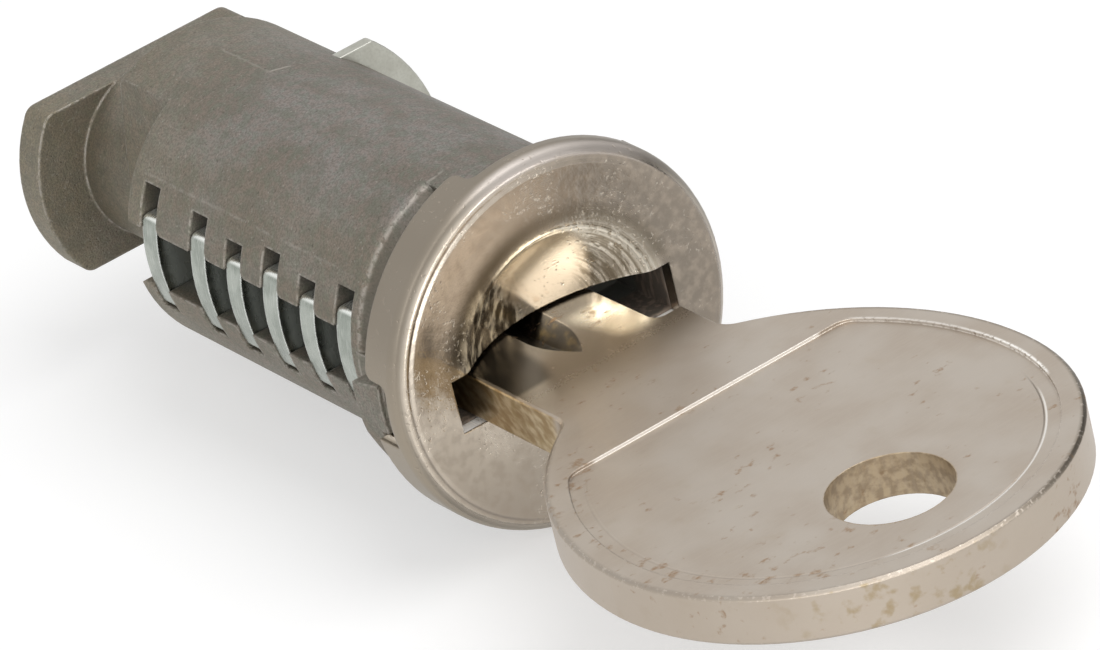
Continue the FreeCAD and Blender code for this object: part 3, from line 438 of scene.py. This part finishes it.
key_plate, place, shader = new_finish("key_plate", 1.0, 0.34)
x, y, z = (place.along(axis) for axis in "XYZ")
bow_centre, hole_centre = -26.7 * mm, -30.7 * mm
panel_radius, panel_edge = 8.6 * mm, -19.96 * mm

# How far out a point lies on the bow. The shoulders' arcs have their centres set aside
aside = 2.4 * mm * y.above(bow_centre)
outward, onward = abs(x) + aside, y - bow_centre
from_bow = (outward * outward + onward * onward).root() - aside
from_hole = (x * x + (y - hole_centre) * (y - hole_centre)).root()
satin = place.grain(2.6 * mm, 2.0)
fine = place.grain(0.08 * mm, 3.0)
brushed = place.grain(0.09 * mm, 2.0, (0.12, 1, 1))
crowd = place.grain(3.0 * mm, 1.0)
spots = place.grain(0.40 * mm, 3.0, (0.7, 1, 1))
flecks = place.grain(0.16 * mm, 2.0)
hole = 1 - from_hole.rise(2.3 * mm, 2.42 * mm)
below_top = 1 - z.rise(0.50 * mm, 0.57 * mm)
rim = from_bow.rise(9.3 * mm, 9.45 * mm) * below_top
blade = y.rise(-17.0 * mm, -13.5 * mm)
side = abs(x).rise(4.06 * mm, 4.14 * mm) * y.rise(-16.4 * mm, -15.9 * mm) * below_top
specked = from_bow.near(8.2 * mm, 0.7 * mm) * (1 - x.rise(-5 * mm, -1 * mm))
rusty = 0.08 * specked + 0.07 * rim * (x.rise(-2 * mm, 5 * mm) - 0.5) + 0.04 * hole
rust = (spots + 0.45 * crowd + rusty - 0.003 / mm * x).rise(0.87, 1.02)
rust = rust * (0.5 + 0.5 * flecks.rise(0.4, 0.6))
stain = (place.grain(0.8 * mm, 3.0) + 0.25 * hole + 0.15 * side).rise(0.58, 0.8)
sloping = place.node("Mapping", None, {"Vector": place, "Rotation": (math.radians(-28), 0, 0)})
scraped = sloping.grain(0.42 * mm, 4.0, (1, 0.6, 1.2)).rise(0.36, 0.68)
worn = edge_wear(place, 0.1 * mm)
nickel = satin.rise(0.3, 0.7).mix(colour(0.43, 0.37, 0.31), colour(0.475, 0.425, 0.37))
nickel = (brushed.rise(0.4, 0.7) * 0.2).mix(nickel, colour(0.50, 0.44, 0.37))
nickel = (rim * 0.7).mix(nickel, colour(0.45, 0.385, 0.315))
# Painted shade along the bow's top edge, stronger to the right and broken by flecks
edge_shade = from_bow.near(9.42 * mm, 0.2 * mm) * z.rise(0.42 * mm, 0.56 * mm)
edge_shade = edge_shade * (1 - y.rise(-18.5 * mm, -17.5 * mm)) * (1 - flecks.rise(0.56, 0.68))
edge_shade = edge_shade * (0.4 + 0.5 * x.rise(-3 * mm, 3 * mm))
nickel = edge_shade.mix(nickel, colour(0.20, 0.17, 0.135))
nickel = (worn * flecks.rise(0.45, 0.65) * 0.6).mix(nickel, colour(0.74, 0.68, 0.60))
nickel = (stain * 0.25).mix(nickel, colour(0.40, 0.33, 0.25))
nickel = (blade * 0.9).mix(nickel, colour(0.265, 0.23, 0.188))

# The neck in front of the cap: a painted highlight on its right, and darkening in the groove and
# in a patch left of it
before_cap = y - cap_front
neck_highlight = (x + 0.2 * before_cap).within(0.4 * mm, 1.9 * mm, 0.45 * mm)
neck_highlight = neck_highlight * y.within(-13.7 * mm, -10.9 * mm, 0.5 * mm) * z.rise(0, 0.1 * mm)
# Painted highlight on the neck's right
nickel = (neck_highlight * 0.9).mix(nickel, colour(0.92, 0.85, 0.71))
bristles = place.grain(0.16 * mm, 3.0, (1, 0.25, 1))
ditch = x.within(-1.66 * mm, 0.16 * mm, 0.05 * mm) * (1 - z.rise(0.57 * mm, 0.605 * mm))
ditch = ditch * (before_cap + 1.2 * mm * (bristles - 0.5)).rise(-2.3 * mm, -1.3 * mm)
across, along = (x + 4.0 * mm) / (2.1 * mm), (before_cap + 0.9 * mm) / (2.9 * mm)
blot = 1 - (across * across + along * along).rise(0.6, 1.1)
blot = blot * z.rise(0.40 * mm, 0.55 * mm) * 0.88
neck_darkening = ditch.larger(blot) * z.rise(0, 0.05 * mm)
neck_darkening = neck_darkening * y.rise(-14 * mm, -13.6 * mm)
nickel = (neck_darkening * 0.85).mix(nickel, colour(0.05, 0.043, 0.036))

# Brass and rust where the plate is gone: the blade's side, the hole and the rim
brown = scraped.mix(colour(0.30, 0.205, 0.095), colour(0.54, 0.44, 0.29))
nickel = (side * 0.9).mix(nickel, brown)
mottle = place.grain(0.34 * mm, 4.0).rise(0.36, 0.62)
nickel = (hole * 0.9).mix(nickel, mottle.mix(colour(0.22, 0.14, 0.05), colour(0.45, 0.335, 0.185)))
spotted = place.grain(0.6 * mm, 5.0).rise(0.50, 0.68) * rim * x.within(-6.5 * mm, 0, 1.2 * mm)
nickel = (spotted * 0.6).mix(nickel, colour(0.30, 0.22, 0.10))
nickel = (rust * 0.7).mix(nickel, colour(0.27, 0.165, 0.085))

# Painted highlights on the panel's edge, along its straight side and on the right
straight = y.near(panel_edge, 0.03 * mm) * (1 - abs(x).rise(5.0 * mm, 5.3 * mm))
bend = from_bow.near(panel_radius + 0.04 * mm, 0.11 * mm) * x.rise(-0.5 * mm, 2 * mm)
bend = bend * y.within(-29.5 * mm, panel_edge - 0.2 * mm, 0.3 * mm) * flecks.rise(0.3, 0.5)
bend = bend * (1 - 0.55 * y.rise(bow_centre, bow_centre + 3 * mm))
to_arc, to_edge = panel_radius - from_bow, panel_edge - y
gleam = to_arc.near(0.54 * mm, 0.06 * mm) * x.rise(-3.4 * mm, -2.2 * mm)
gleam = gleam * (1 - y.rise(-31 * mm, -29.5 * mm))
panel_edge_highlight = 0.7 * straight + bend + 0.85 * gleam
nickel = panel_edge_highlight.mix(nickel, colour(0.95, 0.92, 0.87))
feed(shader, "Metallic", 1 - 0.6 * panel_edge_highlight)
feed(shader, "Base Color", nickel)
roughness = 0.38 + 0.08 * fine + 0.2 * rust + 0.1 * hole + 0.1 * side - 0.18 * blade
feed(shader, "Roughness", roughness)
crease = to_arc.near(0.58 * mm, 0.09 * mm) * to_edge.rise(0.2 * mm, 0.9 * mm)
crease = crease * (0.4 + 0.6 * x.rise(-6 * mm, 6 * mm))
crease = crease * (1 - x.rise(0, 2 * mm) * y.rise(-30 * mm, -28 * mm))
marks = 0.2 * fine + 0.2 * brushed - 0.5 * rust - 3 * crease + 0.6 * scraped * side
feed(shader, "Normal", softened(place, 0.07 * mm, marks, 0.01 * mm))
dress(["key"], key_plate)


# Studio: a pale floor just under the cap's rim, a white backdrop, and three soft lamps. A dark
# card at the right gives the metal something to mirror. It shows to nothing else.

def watched(place):
    """1 where the camera sees the floor or the world, straight, in metal or through glass."""
    straight, mirrored, through = (place.node("LightPath", None, None, "Is %s Ray" % kind)
                                   for kind in ("Camera", "Glossy", "Transmission"))
    return straight.larger(mirrored).larger(through)


def flat_sheet(name, corners):
    mesh = bpy.data.meshes.new(name)
    mesh.from_pydata(corners, [], [(0, 1, 2, 3)])
    sheet = bpy.data.objects.new(name, mesh)
    bpy.context.scene.collection.objects.link(sheet)
    return sheet


floor_half = 1.5
ground = -7.52 * mm
floor = flat_sheet("floor", [(-floor_half, -floor_half, ground), (floor_half, -floor_half, ground),
                             (floor_half, floor_half, ground), (-floor_half, floor_half, ground)])
floor_paint, place, shader = new_finish("floor_paint", 0.0, 0.8)
seen = watched(place)
feed(shader, "Base Color", seen.mix(colour(0.86, 0.86, 0.86), colour(0.55, 0.55, 0.55)))
shader.inputs["Emission Strength"].default_value = 1.0
feed(shader, "Emission Color", seen.mix(colour(0.0, 0.0, 0.0), colour(0.48, 0.48, 0.48)))
floor.data.materials.append(floor_paint)

world = bpy.data.worlds.new("studio")
bpy.context.scene.world = world
world.use_nodes = True
tree = world.node_tree
sky = tree.nodes["Background"]
seen = watched(Line(tree, None))
feed(sky, "Strength", seen.larger(0.5))
sky.inputs["Color"].default_value = colour(1.0, 1.0, 1.0)


def soft_lamp(name, where, aim, size, power):
    lamp = bpy.data.lights.new(name, "AREA")
    lamp.shape = "DISK"
    lamp.size = size
    lamp.energy = power
    holder = bpy.data.objects.new(name, lamp)
    facing = (Vector(aim) - Vector(where)).to_track_quat("-Z", "Y")
    holder.matrix_world = Matrix.Translation(where) @ facing.to_matrix().to_4x4()
    bpy.context.scene.collection.objects.link(holder)


lit_point = (0, -8 * mm, 0)
soft_lamp("lamp_left", (-0.24, -0.30, 0.15), lit_point, 0.46, 0.66)
soft_lamp("lamp_top", (0.10, -0.155, 0.34), lit_point, 0.34, 0.85)
soft_lamp("lamp_low", (-0.14, -0.38, 0.02), lit_point, 0.18, 0.30)

card_x, card_half, card_top = 0.25, 0.17, 0.17
card = flat_sheet("dark_card", [(card_x, -card_half, ground), (card_x, card_half, ground),
                                (card_x, card_half, card_top), (card_x, -card_half, card_top)])
card_paint, place, shader = new_finish("card_paint", 0.0, 0.9)
shader.inputs["Base Color"].default_value = colour(0.02, 0.02, 0.02)
card.data.materials.append(card_paint)
card.visible_camera = False
card.visible_diffuse = False
card.visible_shadow = False


# Camera: the photograph's view, seen through a long lens from the front left and above. The
# angles, the distance and the lens come from a fit to the photograph.

face_middle = Vector((0, cap_front, 0))
turn, lift, roll = (math.radians(angle) for angle in (-29.56, 28.55, -13.97))
distance = 311.9 * mm
back = Vector((math.sin(turn) * math.cos(lift), -math.cos(turn) * math.cos(lift), math.sin(lift)))
level = Vector((math.cos(turn), math.sin(turn), 0))
upright = back.cross(level)
right = math.cos(roll) * level + math.sin(roll) * upright
up = math.cos(roll) * upright - math.sin(roll) * level
lens = bpy.data.cameras.new("camera")
lens.sensor_width = 36
lens.lens = 279.0
photo_width = 1100
lens.shift_x = -15.3 / photo_width
lens.shift_y = 14.3 / photo_width
lens.clip_start = 0.01
camera = bpy.data.objects.new("camera", lens)
turned_to = Matrix((right, up, back)).transposed().to_4x4()
camera.matrix_world = Matrix.Translation(face_middle + back * distance) @ turned_to
bpy.context.scene.collection.objects.link(camera)
bpy.context.scene.camera = camera
bpy.context.scene.view_settings.view_transform = "Standard"
